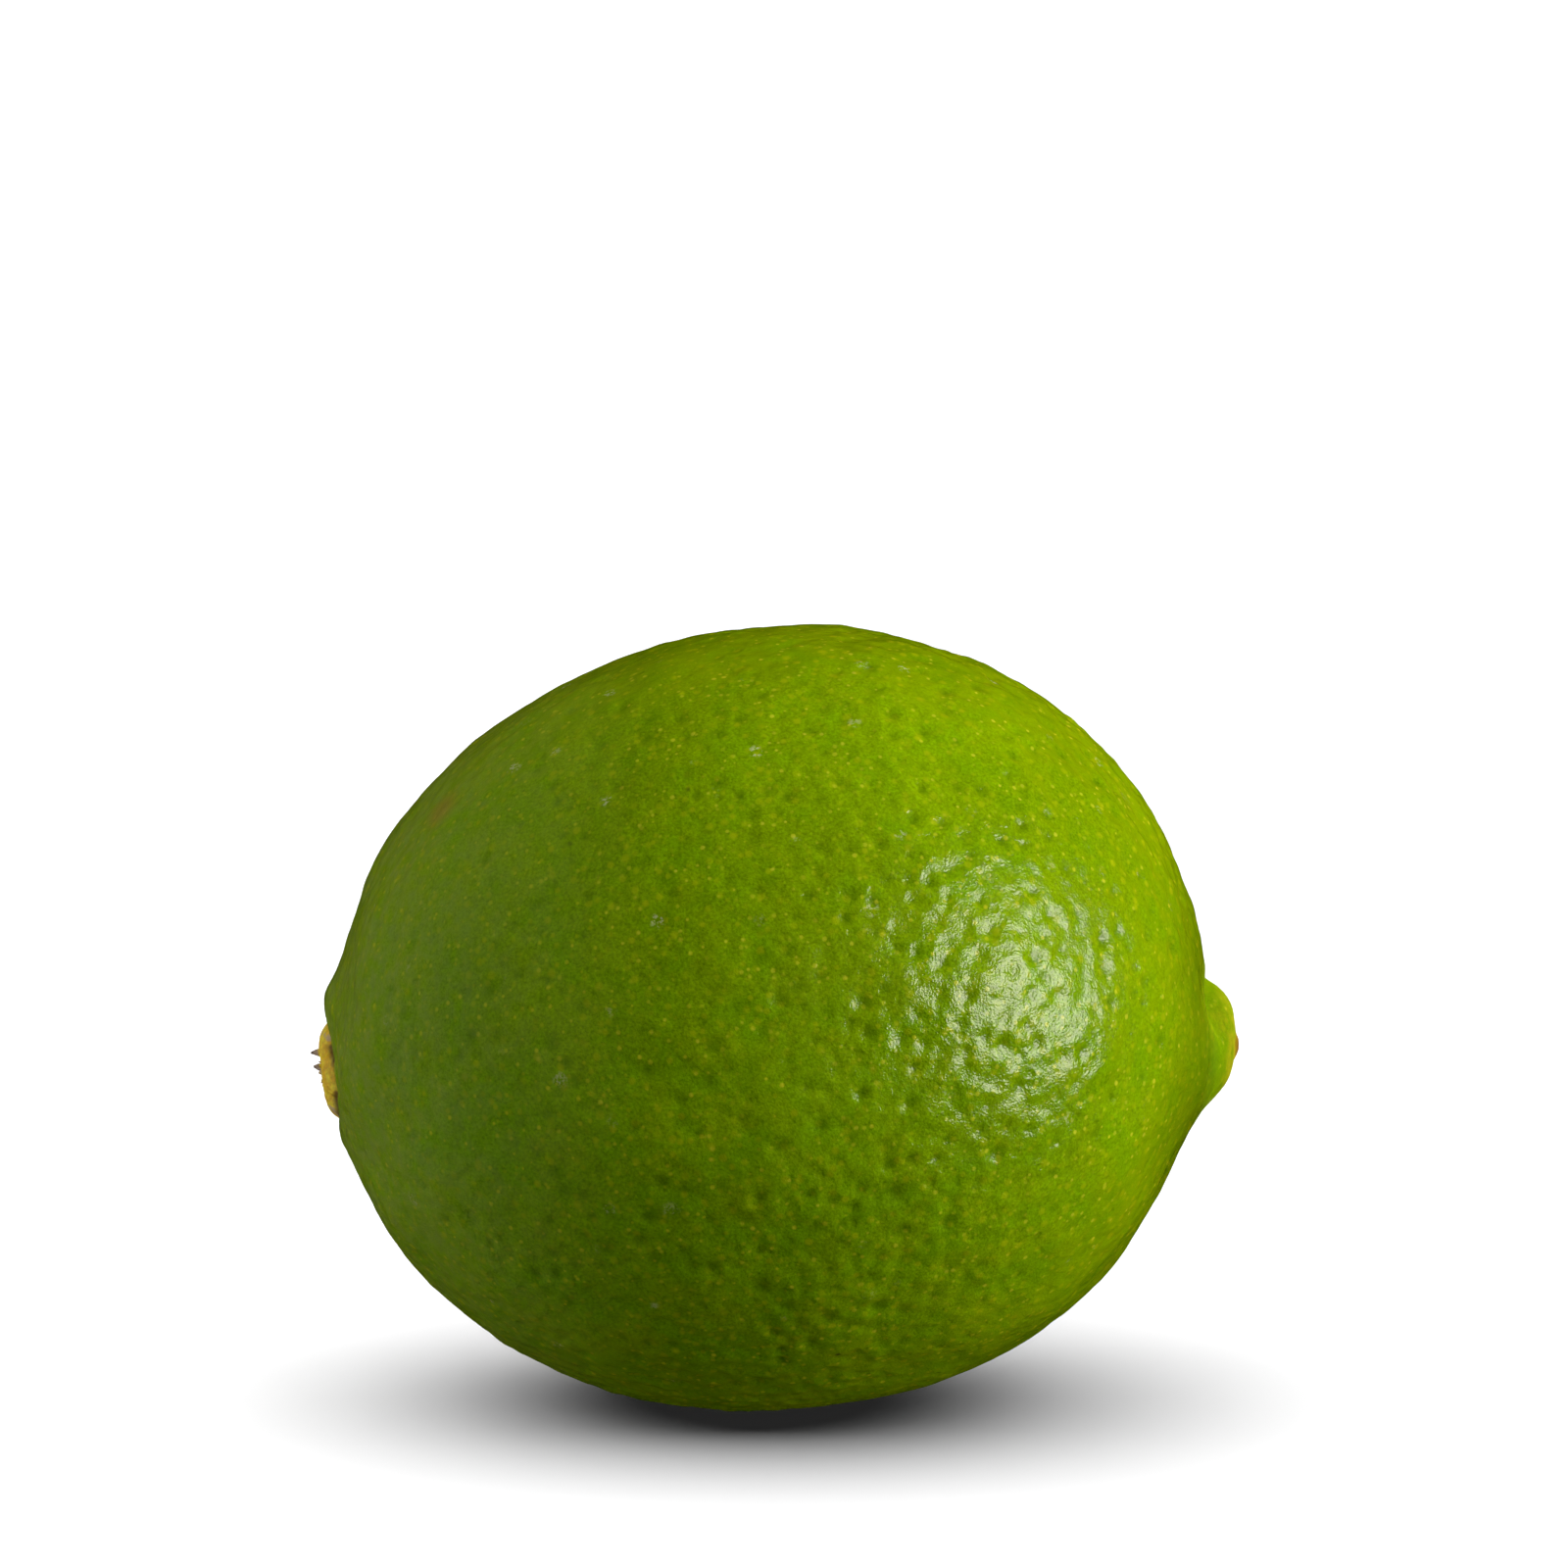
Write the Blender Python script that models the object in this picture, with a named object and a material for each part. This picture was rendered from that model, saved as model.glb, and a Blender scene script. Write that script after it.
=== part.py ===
"""A whole lime lying on its side: the fruit, and the dry calyx button seated in its stem end.

The fruit is shaped in a frame of its own, with its core along X from the stem end (-X) to the blossom
end (+X) and the origin at its widest girth. It is then tilted a little and set on its flat spot.
"""

import math

import bmesh
import bpy
import numpy as np
from mathutils import Matrix, Vector

MM = 0.001

# Driving dimensions of the fruit.
GIRTH_RADIUS = 26.4 * MM
END_REACH = 8.0 * MM  # how deep below each end its own features can lie
STEM_HALF = 30.6 * MM
BLOSSOM_HALF = 29.1 * MM
STEM_FULLNESS = 1.96  # 2 is an ellipse, and more is blunter
BLOSSOM_FULLNESS = 2.14
BELLY = 0.12  # how much fuller the lower half is than the middle
CORE_TILT = math.radians(8.5)  # the blossom end lies higher than the stem end
CORE_SHIFT = 0.2 * MM  # puts the origin in the middle of the whole length
FLAT_SPOT_DEPTH = 0.28 * MM

# The stem end: an uneven collar round a round socket, and a shallow neck over the collar.
STEM_OFFSET = 1.0 * MM
COLLAR_RADIUS = 5.0 * MM
COLLAR_WIDTH = 1.2 * MM
COLLAR_HEIGHT = 0.45 * MM
COLLAR_DIP = 1.5  # how far the collar sinks at the button's sides, in collar heights
COLLAR_SINK = 0.2 * MM  # how much lower it lies under the button than over it
NECK_RADIUS = 9.2 * MM
NECK_WIDTH = 2.8 * MM
NECK_DEPTH = 0.45 * MM
SOCKET_RADIUS = 3.95 * MM
SOCKET_DEPTH = 1.35 * MM
SOCKET_SIDES = 40

# The blossom end: a blunt nipple, creased where it meets the fruit on its upper side and with a shallow
# hollow below it.
NIPPLE_OFFSET = -6.0 * MM
NIPPLE_RADIUS = 4.4 * MM
NIPPLE_HEIGHT = 2.0 * MM
NIPPLE_FOOT = 0.9  # where the soft foot is half as high as the nipple, as a share of its radius
NIPPLE_FOOT_POWER = 5.0
NIPPLE_CREASE = 1.04  # where the crisp side meets the fruit, as a share of the radius
NIPPLE_BLUNTNESS = 3.6
CREASE_DEPTH = 0.2 * MM
CREASE_WIDTH = 0.16
BASE_RADIUS = 11.5 * MM
BASE_WIDTH = 3.8 * MM
BASE_DEPTH = 0.3 * MM
SCAR_RADIUS = 0.8 * MM
SCAR_HEIGHT = 0.3 * MM

# The calyx button, in heights above the fruit's end.
SEAT_GAP = 0.3 * MM
BUTTON_RADIUS = SOCKET_RADIUS - SEAT_GAP
BUTTON_FLOOR = SEAT_GAP - SOCKET_DEPTH
BUTTON_TOP = 0.55 * MM
BUTTON_SEGMENTS = 40
SEPAL_LOBES = 5
SEPAL_NOTCH = 0.06
FIBRE_COUNT = 7
FIBRE_RADIUS = 0.34 * MM
FIBRE_LENGTH = 0.95 * MM
FIBRE_RING = 0.95 * MM

# Mesh density.
BODY_CUTS = 17
END_REGION = 9.5 * MM
NIPPLE_REGION = 6.8 * MM
CREASE_REGION = 5.4 * MM

SHARP_ANGLE = math.radians(40)


def clear_scene():
    for thing in list(bpy.data.objects):
        bpy.data.objects.remove(thing, do_unlink=True)


def material(name, colour, roughness):
    made = bpy.data.materials.new(name)
    made.use_nodes = True
    shader = made.node_tree.nodes["Principled BSDF"]
    shader.inputs["Base Color"].default_value = (*colour, 1.0)
    shader.inputs["Roughness"].default_value = roughness
    shader.inputs["Metallic"].default_value = 0.0
    return made


def add_object(name, bm):
    mesh = bpy.data.meshes.new(name)
    bm.to_mesh(mesh)
    bm.free()
    mesh.shade_smooth()
    mesh.set_sharp_from_angle(angle=SHARP_ANGLE)
    thing = bpy.data.objects.new(name, mesh)
    bpy.context.scene.collection.objects.link(thing)
    return thing


def hide_helper(helper):
    helper.hide_render = True
    helper.display_type = "WIRE"


def boolean(target, helper, operation):
    modifier = target.modifiers.new(helper.name, "BOOLEAN")
    modifier.operation = operation
    modifier.object = helper
    hide_helper(helper)


def core_point(end, offset):
    """The point of the smooth fruit at this height over the core, at the stem (-1) or blossom (+1) end."""
    half = STEM_HALF if end < 0 else BLOSSOM_HALF
    fullness = STEM_FULLNESS if end < 0 else BLOSSOM_FULLNESS
    reach = (1 - (offset / GIRTH_RADIUS) ** 2) ** (1 / fullness)
    return np.array([end * half * reach, 0.0, offset])


def core_normal(end, point):
    half = STEM_HALF if end < 0 else BLOSSOM_HALF
    fullness = STEM_FULLNESS if end < 0 else BLOSSOM_FULLNESS
    along = end * fullness / half * (abs(point[0]) / half) ** (fullness - 1)
    across = 2 * point[2] / GIRTH_RADIUS**2
    slope = np.array([along, 0.0, across])
    return slope / np.linalg.norm(slope)


class EndFrame:
    """A frame on one end of the fruit: where it is, which way is out, and which way is up."""

    def __init__(self, end, offset):
        self.centre = core_point(end, offset)
        self.out = core_normal(end, self.centre)
        self.side = np.array([0.0, 1.0, 0.0])
        self.up = np.array([0.0, 0.0, 1.0]) - self.out[2] * self.out
        self.up /= np.linalg.norm(self.up)

    def spread(self, points):
        """How far each point lies from the axis through this end, and how far round towards the top."""
        rise = (points - self.centre) @ self.up
        sideways = (points - self.centre) @ self.side
        distance = np.hypot(rise, sideways)
        return distance, rise / np.maximum(distance, 1e-9)

    def on_this_end(self, points):
        return (points - self.centre) @ self.out > -END_REACH

    def matrix(self):
        columns = (np.cross(self.up, self.out), self.up, self.out, self.centre)
        made = Matrix.Identity(4)
        for index, column in enumerate(columns):
            for row in range(3):
                made[row][index] = column[row]
        return made


STEM_END = EndFrame(-1, STEM_OFFSET)
BLOSSOM_END = EndFrame(1, NIPPLE_OFFSET)


def smooth_step(value, low, high):
    share = np.clip((value - low) / (high - low), 0, 1)
    return share * share * (3 - 2 * share)


def ring(distance, radius, width):
    """1 at this distance from an axis, fading to 0 on both sides of it."""
    return np.exp(-(((distance - radius) / width) ** 2))


def core_surface(directions):
    """The smooth egg shape, one point for each direction of the unit sphere."""
    along = directions[:, 0]
    across = np.hypot(directions[:, 1], directions[:, 2])
    round_share = directions[:, 1:] / np.maximum(across, 1e-9)[:, None]
    half = np.where(along < 0, STEM_HALF, BLOSSOM_HALF)
    fullness = np.where(along < 0, STEM_FULLNESS, BLOSSOM_FULLNESS)
    fullness = fullness + BELLY * np.maximum(-round_share[:, 1], 0)
    radius = GIRTH_RADIUS * np.sqrt(np.maximum(1 - np.abs(along) ** fullness, 0))
    return np.column_stack([half * along, radius[:, None] * round_share])


def stem_height(points):
    """How far the collar round the socket swells out, less the neck over it."""
    distance, upward = STEM_END.spread(points)
    evenness = (1 + COLLAR_DIP) * upward**2 - COLLAR_DIP
    crest = COLLAR_HEIGHT * evenness - COLLAR_SINK * np.maximum(-upward, 0)
    neck = NECK_DEPTH * np.maximum(upward, 0) * ring(distance, NECK_RADIUS, NECK_WIDTH)
    height = crest * ring(distance, COLLAR_RADIUS, COLLAR_WIDTH) - neck
    return np.where(STEM_END.on_this_end(points), height, 0)


def nipple_height(points):
    """How far the nipple and the scar on its tip stand out."""
    distance, upward = BLOSSOM_END.spread(points)
    share = distance / NIPPLE_RADIUS
    soft = 1 / (1 + (share / NIPPLE_FOOT) ** NIPPLE_FOOT_POWER)
    crisp = np.maximum(1 - (share / NIPPLE_CREASE) ** NIPPLE_BLUNTNESS, 0)
    upper = smooth_step(upward, 0.1, 0.75)
    crease = CREASE_DEPTH * upper * ring(share, NIPPLE_CREASE, CREASE_WIDTH)
    hollow = BASE_DEPTH * np.maximum(-upward, 0) * ring(distance, BASE_RADIUS, BASE_WIDTH)
    scar = SCAR_HEIGHT * np.exp(-((distance / SCAR_RADIUS) ** 4))
    height = NIPPLE_HEIGHT * (upper * crisp + (1 - upper) * soft) - crease - hollow + scar
    return np.where(BLOSSOM_END.on_this_end(points), height, 0)


def fruit_surface(directions):
    points = core_surface(directions)
    raised = points + stem_height(points)[:, None] * STEM_END.out
    return raised + nipple_height(points)[:, None] * BLOSSOM_END.out


def resting_matrix():
    """Tilts the core, and sets the fruit down so that its flat spot is at z = 0."""
    lowest = math.hypot(STEM_HALF * math.sin(CORE_TILT), GIRTH_RADIUS * math.cos(CORE_TILT))
    move = Matrix.Translation((CORE_SHIFT, 0, lowest - FLAT_SPOT_DEPTH))
    return move @ Matrix.Rotation(-CORE_TILT, 4, "Y")


def to_sphere(bm):
    for vertex in bm.verts:
        vertex.co.normalize()


def refine_round(bm, frame, region):
    """Halves the edges of the sphere grid that will lie within this distance of the frame's centre."""
    aim = Vector(frame.centre / np.linalg.norm(frame.centre))
    reach = math.cos(region / GIRTH_RADIUS)
    near = [edge for edge in bm.edges if all(vertex.co.dot(aim) > reach for vertex in edge.verts)]
    bmesh.ops.subdivide_edges(bm, edges=near, cuts=1, use_grid_fill=True)
    to_sphere(bm)


def sphere_grid():
    """A cube grid blown up to a unit sphere, finer at both ends of the fruit and finest round the nipple."""
    bm = bmesh.new()
    bmesh.ops.create_cube(bm, size=2)
    bmesh.ops.subdivide_edges(bm, edges=bm.edges[:], cuts=BODY_CUTS, use_grid_fill=True)
    to_sphere(bm)
    for frame in (STEM_END, BLOSSOM_END):
        refine_round(bm, frame, END_REGION)
    for region in (NIPPLE_REGION, CREASE_REGION):
        refine_round(bm, BLOSSOM_END, region)
    bmesh.ops.triangulate(bm, faces=bm.faces[:])
    return bm


def cut_flat_spot(bm):
    geometry = bm.verts[:] + bm.edges[:] + bm.faces[:]
    cut = bmesh.ops.bisect_plane(
        bm, geom=geometry, plane_co=(0, 0, 0), plane_no=(0, 0, -1), clear_outer=True
    )
    rim = [item for item in cut["geom_cut"] if isinstance(item, bmesh.types.BMEdge)]
    bmesh.ops.holes_fill(bm, edges=rim)


def build_socket_cutter():
    """The round hole that the calyx button sits in, open towards the outside."""
    bm = bmesh.new()
    bmesh.ops.create_cone(
        bm,
        cap_ends=True,
        segments=SOCKET_SIDES,
        radius1=SOCKET_RADIUS,
        radius2=SOCKET_RADIUS,
        depth=2 * SOCKET_DEPTH,
    )
    cutter = add_object("socket_cutter", bm)
    cutter.matrix_world = resting_matrix() @ STEM_END.matrix()
    return cutter


def build_fruit():
    bm = sphere_grid()
    directions = np.array([vertex.co for vertex in bm.verts])
    for vertex, point in zip(bm.verts, fruit_surface(directions)):
        vertex.co = Vector(point)
    bm.transform(resting_matrix())
    cut_flat_spot(bm)
    fruit = add_object("lime_fruit", bm)
    fruit.data.materials.append(material("lime_rind", (0.16, 0.30, 0.01), 0.35))
    boolean(fruit, build_socket_cutter(), "DIFFERENCE")
    return fruit


def button_profile():
    """The button's turned outline, from the middle of its underside to the middle of its top."""
    return (
        (0, BUTTON_FLOOR),
        (0.92 * BUTTON_RADIUS, BUTTON_FLOOR),
        (BUTTON_RADIUS, 0.8 * BUTTON_FLOOR),
        (BUTTON_RADIUS, 0.2 * BUTTON_FLOOR),
        (0.93 * BUTTON_RADIUS, 0.3 * BUTTON_TOP),
        (0.82 * BUTTON_RADIUS, 0.8 * BUTTON_TOP),
        (0.70 * BUTTON_RADIUS, BUTTON_TOP),
        (0.52 * BUTTON_RADIUS, 0.9 * BUTTON_TOP),
        (0.40 * BUTTON_RADIUS, 0.5 * BUTTON_TOP),
        (0, 0.4 * BUTTON_TOP),
    )


def turned_button():
    """The profile spun round, with its visible edge notched between the sepal stubs."""
    bm = bmesh.new()
    outline = [bm.verts.new((radius, 0, height)) for radius, height in button_profile()]
    edges = [bm.edges.new(pair) for pair in zip(outline, outline[1:])]
    bmesh.ops.spin(
        bm,
        geom=outline + edges,
        cent=(0, 0, 0),
        axis=(0, 0, 1),
        angle=2 * math.pi,
        steps=BUTTON_SEGMENTS,
    )
    bmesh.ops.remove_doubles(bm, verts=bm.verts[:], dist=0.01 * MM)
    for vertex in bm.verts:
        angle = math.atan2(vertex.co.y, vertex.co.x)
        notch = SEPAL_NOTCH * 0.5 * (1 - math.cos(SEPAL_LOBES * angle))
        vertex.co.x *= 1 - notch
        vertex.co.y *= 1 - notch
    bmesh.ops.recalc_face_normals(bm, faces=bm.faces[:])
    return bm


def torn_fibres():
    """Short tapered ends of the wood that tore when the stalk broke off, in a loose ring."""
    bm = bmesh.new()
    for index in range(FIBRE_COUNT):
        angle = 2 * math.pi * index / FIBRE_COUNT
        length = FIBRE_LENGTH * (1 + 0.25 * math.cos(3 * angle + 1))
        lean = Matrix.Rotation(0.3 * math.sin(2 * angle), 4, "X")
        place = Matrix.Translation((FIBRE_RING * math.cos(angle), FIBRE_RING * math.sin(angle), 0))
        raise_up = Matrix.Translation((0, 0, length / 2))
        bmesh.ops.create_cone(
            bm,
            cap_ends=True,
            segments=8,
            radius1=FIBRE_RADIUS,
            radius2=0.3 * FIBRE_RADIUS,
            depth=length,
            matrix=place @ lean @ raise_up,
        )
    fibres = add_object("torn_fibres", bm)
    fibres.matrix_world = resting_matrix() @ STEM_END.matrix()
    return fibres


def build_button():
    bm = turned_button()
    bm.transform(resting_matrix() @ STEM_END.matrix())
    button = add_object("stem_button", bm)
    button.data.materials.append(material("dry_calyx", (0.36, 0.23, 0.06), 0.8))
    boolean(button, torn_fibres(), "UNION")
    return button


def main():
    clear_scene()
    build_fruit()
    build_button()


main()
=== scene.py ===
"""The looks of a whole lime lying on its side: its pitted waxy rind, its nipple and its dry calyx button.

The rind is shaped as the CAD fruit is, in a frame whose X runs along the core from the stem end to the
blossom end, and then gets its relief. It is tilted and set down where the CAD fruit lies.
"""

import math

import bpy
import numpy as np
from mathutils import Matrix, Vector
from mathutils.kdtree import KDTree


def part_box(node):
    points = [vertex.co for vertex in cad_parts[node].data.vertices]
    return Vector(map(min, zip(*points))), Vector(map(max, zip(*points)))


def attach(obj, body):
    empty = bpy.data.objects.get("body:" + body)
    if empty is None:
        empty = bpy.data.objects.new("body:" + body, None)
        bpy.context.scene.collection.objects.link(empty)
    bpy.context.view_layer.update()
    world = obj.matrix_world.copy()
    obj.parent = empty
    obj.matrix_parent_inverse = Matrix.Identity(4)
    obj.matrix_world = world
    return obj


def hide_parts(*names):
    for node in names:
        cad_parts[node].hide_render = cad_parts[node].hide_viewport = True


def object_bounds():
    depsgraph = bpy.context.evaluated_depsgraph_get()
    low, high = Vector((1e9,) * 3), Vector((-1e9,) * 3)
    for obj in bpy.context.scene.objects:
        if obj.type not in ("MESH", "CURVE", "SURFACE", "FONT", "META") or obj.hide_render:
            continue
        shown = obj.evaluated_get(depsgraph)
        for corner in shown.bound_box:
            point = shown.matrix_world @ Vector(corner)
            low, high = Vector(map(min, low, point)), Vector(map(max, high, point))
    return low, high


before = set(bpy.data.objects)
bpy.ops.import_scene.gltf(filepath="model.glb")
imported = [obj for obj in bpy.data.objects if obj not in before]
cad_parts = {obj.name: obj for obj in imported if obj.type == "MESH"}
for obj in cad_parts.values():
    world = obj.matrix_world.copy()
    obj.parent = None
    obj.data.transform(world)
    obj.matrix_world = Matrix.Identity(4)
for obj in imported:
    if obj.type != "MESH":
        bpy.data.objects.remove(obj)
CAD_LOW, CAD_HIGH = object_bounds()
FRUIT_LOW, FRUIT_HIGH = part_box("lime_fruit")

MM = 0.001
TINY = 1e-9  # keeps a division off zero
SWELL_SEED = 1100  # for the rind's swells and ripples
SEED = 7  # for its cobble and pits, and for the button

# The smooth fruit. Its lengths keep the CAD fruit's proportions to its girth radius.
GIRTH_RADIUS = (FRUIT_HIGH.y - FRUIT_LOW.y) / 2
STEM_SHARE = 30.6 / 26.4
BLOSSOM_SHARE = 29.1 / 26.4
STEM_HALF = STEM_SHARE * GIRTH_RADIUS
BLOSSOM_HALF = BLOSSOM_SHARE * GIRTH_RADIUS
STEM_FULLNESS = 1.96  # 2 is an ellipse, and more is blunter
BLOSSOM_FULLNESS = 2.14
BELLY = 0.12  # how much fuller the lower half is than the middle
CORE_TILT = math.radians(8.5)  # the blossom end lies higher than the stem end
CORE_SHIFT = 0.2 * MM
END_REACH = 8.0 * MM  # how deep below each end its own features can lie

# The stem end: an uneven collar round the dish that the button sits in, and a shallow neck over it.
STEM_OFFSET = 1.0 * MM  # how high over the core the button lies
COLLAR_RADIUS = 5.0 * MM
COLLAR_WIDTH = 1.2 * MM
COLLAR_HEIGHT = 0.45 * MM
COLLAR_DIP = 1.5  # how far the collar sinks at the button's sides, in collar heights
COLLAR_SINK = 0.2 * MM  # how much lower it lies under the button than over it
NECK_RADIUS = 9.2 * MM
NECK_WIDTH = 2.8 * MM
NECK_DEPTH = 0.45 * MM
DISH_RADIUS = 4.1 * MM
DISH_SLOPE = 1.1 * MM
DISH_DEPTH = 0.75 * MM
BARE_RADIUS = 3.2 * MM  # the dish is bare brown tissue, darkened with painted shade, within this radius, and is rind again from here
BARE_EDGE = 3.9 * MM  # and is rind again from here

# The blossom end: a blunt nipple, crisp and creased on its upper side and soft on its other sides, and a
# shallow hollow below it.
NIPPLE_OFFSET = -6.0 * MM  # how high over the core the nipple lies
NIPPLE_RADIUS = 4.4 * MM
NIPPLE_HEIGHT = 2.0 * MM
NIPPLE_FOOT = 0.9  # where the soft foot is half as high as the nipple, in nipple radii
NIPPLE_FOOT_POWER = 5.0
NIPPLE_SIDE_FOOT = 0.3  # how much farther out that is on the nipple's left and right
NIPPLE_SIDE_POWER = 2.0  # how much gentler the foot is there
FOOT_FADE_START = 1.8 * NIPPLE_RADIUS  # the soft foot fades out from here,
FOOT_FADE_END = 2.8 * NIPPLE_RADIUS  # and has gone here
UPPER_START = 0.1  # how far round towards the top the crisp side begins,
UPPER_END = 0.75  # and where it is fully crisp
NIPPLE_CREASE = 1.04  # where the crisp side meets the fruit, in nipple radii
NIPPLE_BLUNTNESS = 4.0
CREASE_DEPTH = 0.3 * MM
CREASE_WIDTH = 0.12
BASE_RADIUS = 11.5 * MM
BASE_WIDTH = 3.8 * MM
BASE_DEPTH = 0.3 * MM
SCAR_RADIUS = 0.8 * MM
SCAR_HEIGHT = 0.3 * MM
SCAR_BLUNTNESS = 4

# The rind's mesh: a cube grid blown up round, with this many cells along each side of the cube. Each side
# has a tile of its own in the map, with a margin round it.
GRID = 126
TILES = (3, 2)
TILE_FILL = 0.98
TILE_MARGIN = 0.01

# The rind's relief.
WAVE_COUNT = 48
WAVE_SPREAD = 0.3  # how much the single waves differ in length
SWELL_WAVELENGTH = 9.0 * MM
SWELL_HEIGHT = 0.09 * MM
RIPPLE_WAVELENGTH = 4.4 * MM
RIPPLE_HEIGHT = 0.03 * MM
RIPPLE_STRETCH = 1.4
COBBLE_WAVELENGTH = 1.7 * MM
COBBLE_HEIGHT = 0.045 * MM
PIT_TRIES = 11400  # random places, of which about a quarter keep clear of the others and become pits
PIT_SPACING = 1.25 * MM  # the least distance between two pits
PIT_RADIUS = 0.46 * MM
PIT_RADIUS_RANGE = (0.75, 1.3)
PIT_DEPTH = 0.30 * MM
PIT_DEPTH_RANGE = (0.3, 1.0)
PIT_DEPTH_POWER = 1.8  # more than 1 makes shallow pits the common ones
PIT_NEIGHBOURS = 3  # how many of the nearest pits can reach a point

# Where the cobble and the pits are weaker: up towards the stem, and low on the blossom end.
STEM_STRENGTH = 0.5
STEM_SLANT = 0.6  # how much the fade leans with height
STEM_FADE = (-18 * MM, 8 * MM)
BLOSSOM_LOSS = 0.75
BLOSSOM_FADE = (18 * MM, 34 * MM)

# The calyx button. Heights are above the fruit's end.
BUTTON_RADIUS = 3.65 * MM
BUTTON_FLOOR = -1.05 * MM
BUTTON_EDGE = -0.7 * MM
BUTTON_TOP = 0.55 * MM
BUTTON_BLUNTNESS = 4.5
BUTTON_HOLLOW = 0.4 * MM
BUTTON_TURNS = 120
BUTTON_RINGS = 34
HOLLOW_SHARE = 0.4  # in button radii
HOLLOW_BLUNTNESS = 4
WALL_TAPER = 0.97  # how wide the floor is, in rims
SEPALS = 5
NOTCH_WIDTH = 0.1  # in sepals
NOTCH_BITE = 0.1  # how far the notches reach into the rim, in button radii
RIM_WOBBLE = 0.02  # how unevenly the rim reaches out, in button radii
RIM_WOBBLES = 3
RIM_PHASE = 1
GROOVE_DEPTH = 0.25 * MM
GROOVE_SPAN = (0.45, 0.95)  # where it deepens, as shares of the way to the rim
LUMP_HEIGHT = 0.035 * MM
LUMP_WAVELENGTH = 2.2 * MM
GRAIN_HEIGHT = 0.012 * MM
GRAIN_WAVELENGTH = 0.6 * MM
WRINKLE_HEIGHT = 0.015 * MM
WRINKLES = 31
WRINKLE_SWERVE = 3
WRINKLE_SWERVES = 4
WRINKLE_SPAN = (0.4, 0.7)  # where they rise, as shares of the way to the rim

# The torn fibres in the button's hollow.
FIBRES = 8
FIBRE_SIDES = 6
FIBRE_JOINTS = 5
FIBRE_START_TURN = 0.5  # of a whole turn
FIBRE_STRAY = 0.5  # to either side, in radians
FIBRE_REACH = (0.2, 1.0)  # how far out the fibres stand, in hollow radii
FIBRE_ROOT = 0.1 * MM
FIBRE_LEAN = (-0.1, 0.5)
FIBRE_LENGTH = (0.3, 1.15)  # in millimetres, as is the thickness
FIBRE_THICKNESS = (0.24, 0.46)
FIBRE_CROOK = 0.04 * MM
FIBRE_TAPER = 0.85
FIBRE_TAPER_POWER = 1.5

# The view and the studio. Distances and heights are in metres, and the lights' angles in degrees.
VIEW_ELEVATION = math.radians(10)
VIEW_DISTANCE = 0.5
LENGTH_SHARE = 0.5924  # of the picture's width
RISE_SHARE = 0.2985  # how far the picture's middle lies above the object's, in object heights
ASIDE_SHARE = 0.0097  # and to its right, in object lengths
SENSOR = 36.0  # its width, in millimetres
LAMP_DISTANCE = 0.5
WHITE = (1.0, 1.0, 1.0)
KEY_COLOUR = (1.0, 0.94, 0.82)
KEY_PLACE = (-29.5, 11, 17)  # azimuth, elevation and half angle
KEY_RADIANCE = 3.9
KEY_FILL_RADIANCE = 3.7
FILLS = (  # name, azimuth, elevation, half angle and radiance
    ("front_fill", -26, 38, 30, 2.1),
    ("right_fill", 0, 44, 30, 1.3),
    ("stem_fill", -177, -2, 30, 2.1),
    ("top_fill", -120, 70, 30, 0.4),
    ("low_fill", 10, -28, 30, 1.15),
    ("back_fill", 90, 25, 35, 0.5),
)
CEILING_HEIGHT = 20.0
CEILING_LENGTH = 2.6  # half of it, in ceiling heights
CEILING_WIDTH = 1.15
CEILING_RADIANCE = 2.3
FLOOR_REACH = 30.0
FLOOR_COLOUR = (0.85, 0.85, 0.85)
AMBIENT = 0.02


# ---------------------------------------------------------------- shape of the fruit


def core_point(end, offset):
    """The point of the smooth fruit at this height over the core, at the stem (-1) or blossom (+1) end."""
    half = STEM_HALF if end < 0 else BLOSSOM_HALF
    fullness = STEM_FULLNESS if end < 0 else BLOSSOM_FULLNESS
    reach = (1 - (offset / GIRTH_RADIUS) ** 2) ** (1 / fullness)
    return np.array([end * half * reach, 0.0, offset])


def end_shape(along):
    """Half the length and the fullness of the end of the fruit that each place is in."""
    half = np.where(along < 0, STEM_HALF, BLOSSOM_HALF)
    fullness = np.where(along < 0, STEM_FULLNESS, BLOSSOM_FULLNESS)
    return half, fullness


def core_normals(points):
    """Which way is out of the smooth fruit at each of its points."""
    along = points[:, 0]
    half, fullness = end_shape(along)
    lengthways = np.sign(along) * fullness / half * (np.abs(along) / half) ** (fullness - 1)
    normals = np.column_stack([lengthways, 2 * points[:, 1:] / GIRTH_RADIUS**2])
    return normals / np.linalg.norm(normals, axis=1)[:, None]


def core_surface(directions):
    """The smooth fruit, one point for each direction of the unit sphere."""
    along = directions[:, 0]
    across = np.hypot(directions[:, 1], directions[:, 2])
    round_share = directions[:, 1:] / np.maximum(across, TINY)[:, None]
    half, fullness = end_shape(along)
    fullness = fullness + BELLY * np.maximum(-round_share[:, 1], 0)
    radius = GIRTH_RADIUS * np.sqrt(np.maximum(1 - np.abs(along) ** fullness, 0))
    return np.column_stack([half * along, radius[:, None] * round_share])


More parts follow.
